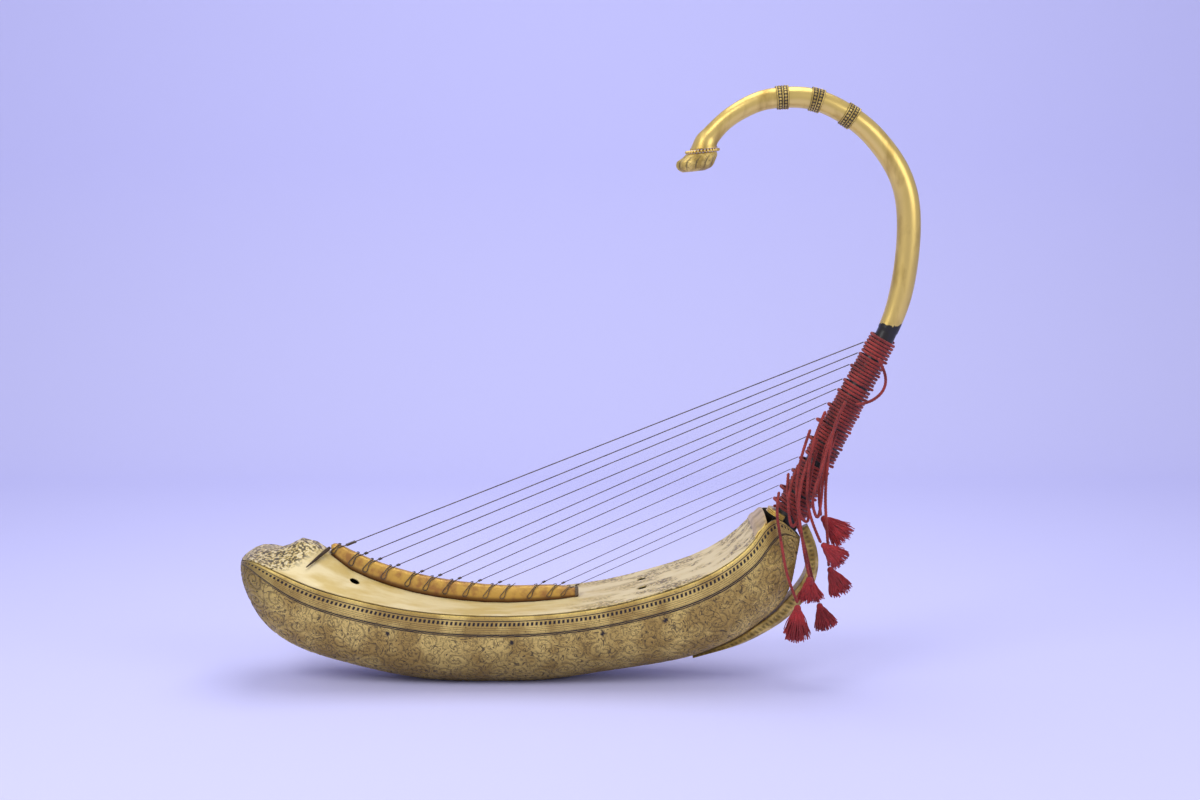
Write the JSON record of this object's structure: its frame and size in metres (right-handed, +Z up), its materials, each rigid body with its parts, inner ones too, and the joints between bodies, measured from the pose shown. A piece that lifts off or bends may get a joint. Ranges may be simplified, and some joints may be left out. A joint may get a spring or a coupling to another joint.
{
  "type": "arched harp",
  "caption": "Arched harp with a boat-shaped gilt sound box, skin top, bow-shaped neck, and strings tuned by red cotton windings that end in tassels",
  "frame": {"origin": "middle of the small flat under the keel", "axes": "+X from the boat's bow towards the neck, +Y across to the far side, +Z up"},
  "size_m": [0.962, 0.1634, 0.8452],
  "materials": {
    "hull_gilt": "carved, antique gilt lacquer",
    "trim_gilt": "carved relief, antique gilt",
    "neck_gilt": "bright gilt above, black lacquer below",
    "hide": "stretched hide, worn gilt lacquer",
    "bar_gilt": "gilt lacquer",
    "inner_wood": "bare wood",
    "strings": "twisted silk or nylon cord",
    "cotton": "twisted red cotton cord"
  },
  "bodies": {
    "body": {"hull": "hull_gilt", "skin_top": "hide", "string_bar": "bar_gilt", "bar_tongue": "inner_wood", "neck": "neck_gilt", "neck_band_1": "trim_gilt", "neck_band_2": "trim_gilt", "neck_band_3": "trim_gilt", "finial": "trim_gilt", "finial_ring": "neck_gilt", "rear_strut": "trim_gilt", "collar": "neck_gilt", "bar_lashing": "strings", "bar_peg": "bar_gilt", "spare_tie": "strings", "cord_loop": "cotton", "loose_cord_1": "cotton", "loose_cord_2": "cotton", "loose_cord_3": "cotton", "loose_cord_4": "cotton", "loose_cord_5": "cotton", "loose_cord_6": "cotton"},
    "winding_1": {"winding_1": "cotton"},
    "winding_2": {"winding_2": "cotton"},
    "winding_3": {"winding_3": "cotton"},
    "winding_4": {"winding_4": "cotton"},
    "winding_5": {"winding_5": "cotton"},
    "winding_6": {"winding_6": "cotton"},
    "winding_7": {"winding_7": "cotton"},
    "winding_8": {"winding_8": "cotton"},
    "winding_9": {"winding_9": "cotton"},
    "winding_10": {"winding_10": "cotton"},
    "winding_11": {"winding_11": "cotton"},
    "winding_12": {"winding_12": "cotton"},
    "string_1": {"string_1": "strings"},
    "string_2": {"string_2": "strings"},
    "string_3": {"string_3": "strings"},
    "string_4": {"string_4": "strings"},
    "string_5": {"string_5": "strings"},
    "string_6": {"string_6": "strings"},
    "string_7": {"string_7": "strings"},
    "string_8": {"string_8": "strings"},
    "string_9": {"string_9": "strings"},
    "string_10": {"string_10": "strings"},
    "string_11": {"string_11": "strings"},
    "string_12": {"string_12": "strings"},
    "tassel_1": {"tassel_1": "cotton"},
    "tassel_2": {"tassel_2": "cotton"},
    "tassel_3": {"tassel_3": "cotton"},
    "tassel_4": {"tassel_4": "cotton"},
    "tassel_5": {"tassel_5": "cotton"},
    "tassel_6": {"tassel_6": "cotton"}
  },
  "joints": [
    {"name": "winding_1_turn", "type": "hinge", "parent": "body", "child": "winding_1", "pos_m": [0.54816, 0, 0.47682], "axis": [-0.4536, 0, -0.8912], "range_deg": [-10, 10]},
    {"name": "winding_2_turn", "type": "hinge", "parent": "body", "child": "winding_2", "pos_m": [0.54045, 0, 0.46167], "axis": [-0.4536, 0, -0.8912], "range_deg": [-10, 10]},
    {"name": "winding_3_turn", "type": "hinge", "parent": "body", "child": "winding_3", "pos_m": [0.53129, 0, 0.44367], "axis": [-0.4536, 0, -0.8912], "range_deg": [-10, 10]},
    {"name": "winding_4_turn", "type": "hinge", "parent": "body", "child": "winding_4", "pos_m": [0.52099, 0, 0.42344], "axis": [-0.4536, 0, -0.8912], "range_deg": [-10, 10]},
    {"name": "winding_5_turn", "type": "hinge", "parent": "body", "child": "winding_5", "pos_m": [0.5135, 0, 0.40873], "axis": [-0.4536, 0, -0.8912], "range_deg": [-10, 10]},
    {"name": "winding_6_turn", "type": "hinge", "parent": "body", "child": "winding_6", "pos_m": [0.50253, 0, 0.38717], "axis": [-0.4536, 0, -0.8912], "range_deg": [-10, 10]},
    {"name": "winding_7_turn", "type": "hinge", "parent": "body", "child": "winding_7", "pos_m": [0.49041, 0, 0.36337], "axis": [-0.4536, 0, -0.8912], "range_deg": [-10, 10]},
    {"name": "winding_8_turn", "type": "hinge", "parent": "body", "child": "winding_8", "pos_m": [0.47798, 0, 0.33895], "axis": [-0.4536, 0, -0.8912], "range_deg": [-10, 10]},
    {"name": "winding_9_turn", "type": "hinge", "parent": "body", "child": "winding_9", "pos_m": [0.46315, 0, 0.30981], "axis": [-0.4536, 0, -0.8912], "range_deg": [-10, 10]},
    {"name": "winding_10_turn", "type": "hinge", "parent": "body", "child": "winding_10", "pos_m": [0.45385, 0, 0.29154], "axis": [-0.4536, 0, -0.8912], "range_deg": [-10, 10]},
    {"name": "winding_11_turn", "type": "hinge", "parent": "body", "child": "winding_11", "pos_m": [0.44101, 0, 0.26632], "axis": [-0.4536, 0, -0.8912], "range_deg": [-10, 10]},
    {"name": "winding_12_turn", "type": "hinge", "parent": "body", "child": "winding_12", "pos_m": [0.4318, 0, 0.24823], "axis": [-0.4536, 0, -0.8912], "range_deg": [-10, 10]},
    {"name": "string_1_swing", "type": "hinge", "parent": "body", "child": "string_1", "pos_m": [-0.2075, 0, 0.19372], "axis": [-0.3699, 0, 0.9291], "range_deg": [-1.5, 1.5]},
    {"name": "string_2_swing", "type": "hinge", "parent": "body", "child": "string_2", "pos_m": [-0.1815, 0, 0.1811], "axis": [-0.3823, 0, 0.9241], "range_deg": [-1.5, 1.5]},
    {"name": "string_3_swing", "type": "hinge", "parent": "body", "child": "string_3", "pos_m": [-0.1615, 0, 0.17282], "axis": [-0.3879, 0, 0.9217], "range_deg": [-1.5, 1.5]},
    {"name": "string_4_swing", "type": "hinge", "parent": "body", "child": "string_4", "pos_m": [-0.1355, 0, 0.16388], "axis": [-0.3918, 0, 0.9201], "range_deg": [-1.5, 1.5]},
    {"name": "string_5_swing", "type": "hinge", "parent": "body", "child": "string_5", "pos_m": [-0.1015, 0, 0.15458], "axis": [-0.4088, 0, 0.9126], "range_deg": [-1.5, 1.5]},
    {"name": "string_6_swing", "type": "hinge", "parent": "body", "child": "string_6", "pos_m": [-0.0755, 0, 0.14893], "axis": [-0.4132, 0, 0.9107], "range_deg": [-1.5, 1.5]},
    {"name": "string_7_swing", "type": "hinge", "parent": "body", "child": "string_7", "pos_m": [-0.0475, 0, 0.14437], "axis": [-0.4167, 0, 0.909], "range_deg": [-1.5, 1.5]},
    {"name": "string_8_swing", "type": "hinge", "parent": "body", "child": "string_8", "pos_m": [-0.0185, 0, 0.14091], "axis": [-0.4101, 0, 0.912], "range_deg": [-1.5, 1.5]},
    {"name": "string_9_swing", "type": "hinge", "parent": "body", "child": "string_9", "pos_m": [0.0105, 0, 0.13874], "axis": [-0.394, 0, 0.9191], "range_deg": [-1.5, 1.5]},
    {"name": "string_10_swing", "type": "hinge", "parent": "body", "child": "string_10", "pos_m": [0.0735, 0, 0.1389], "axis": [-0.4236, 0, 0.9058], "range_deg": [-1.5, 1.5]},
    {"name": "string_11_swing", "type": "hinge", "parent": "body", "child": "string_11", "pos_m": [0.1015, 0, 0.1376], "axis": [-0.4204, 0, 0.9073], "range_deg": [-1.5, 1.5]},
    {"name": "string_12_swing", "type": "hinge", "parent": "body", "child": "string_12", "pos_m": [0.1215, 0, 0.13453], "axis": [-0.4165, 0, 0.9092], "range_deg": [-1.5, 1.5]},
    {"name": "tassel_1_swing", "type": "hinge", "parent": "body", "child": "tassel_1", "pos_m": [0.4685, -0.031, 0.243], "axis": [0, 1, 0], "range_deg": [-12, 12]},
    {"name": "tassel_2_swing", "type": "hinge", "parent": "body", "child": "tassel_2", "pos_m": [0.466, -0.056, 0.2095], "axis": [0, 1, 0], "range_deg": [-12, 12]},
    {"name": "tassel_3_swing", "type": "hinge", "parent": "body", "child": "tassel_3", "pos_m": [0.4805, -0.033, 0.1705], "axis": [0, 1, 0], "range_deg": [-12, 12]},
    {"name": "tassel_4_swing", "type": "hinge", "parent": "body", "child": "tassel_4", "pos_m": [0.4505, -0.057, 0.161], "axis": [0, 1, 0], "range_deg": [-12, 12]},
    {"name": "tassel_5_swing", "type": "hinge", "parent": "body", "child": "tassel_5", "pos_m": [0.433, -0.0715, 0.1265], "axis": [0, 1, 0], "range_deg": [-12, 12]},
    {"name": "tassel_6_swing", "type": "hinge", "parent": "body", "child": "tassel_6", "pos_m": [0.467, -0.031, 0.117], "axis": [0, 1, 0], "range_deg": [-12, 12]}
  ],
  "couplings": [
    {"joint": "string_1_swing", "follows": "winding_1_turn", "ratio": 0.02777},
    {"joint": "string_2_swing", "follows": "winding_2_turn", "ratio": 0.02894},
    {"joint": "string_3_swing", "follows": "winding_3_turn", "ratio": 0.03437},
    {"joint": "string_4_swing", "follows": "winding_4_turn", "ratio": 0.03477},
    {"joint": "string_5_swing", "follows": "winding_5_turn", "ratio": 0.03849},
    {"joint": "string_6_swing", "follows": "winding_6_turn", "ratio": 0.0461},
    {"joint": "string_7_swing", "follows": "winding_7_turn", "ratio": 0.0571},
    {"joint": "string_8_swing", "follows": "winding_8_turn", "ratio": 0.05722},
    {"joint": "string_9_swing", "follows": "winding_9_turn", "ratio": 0.05903},
    {"joint": "string_10_swing", "follows": "winding_10_turn", "ratio": 0.0741},
    {"joint": "string_11_swing", "follows": "winding_11_turn", "ratio": 0.09655},
    {"joint": "string_12_swing", "follows": "winding_12_turn", "ratio": 0.10681}
  ]
}
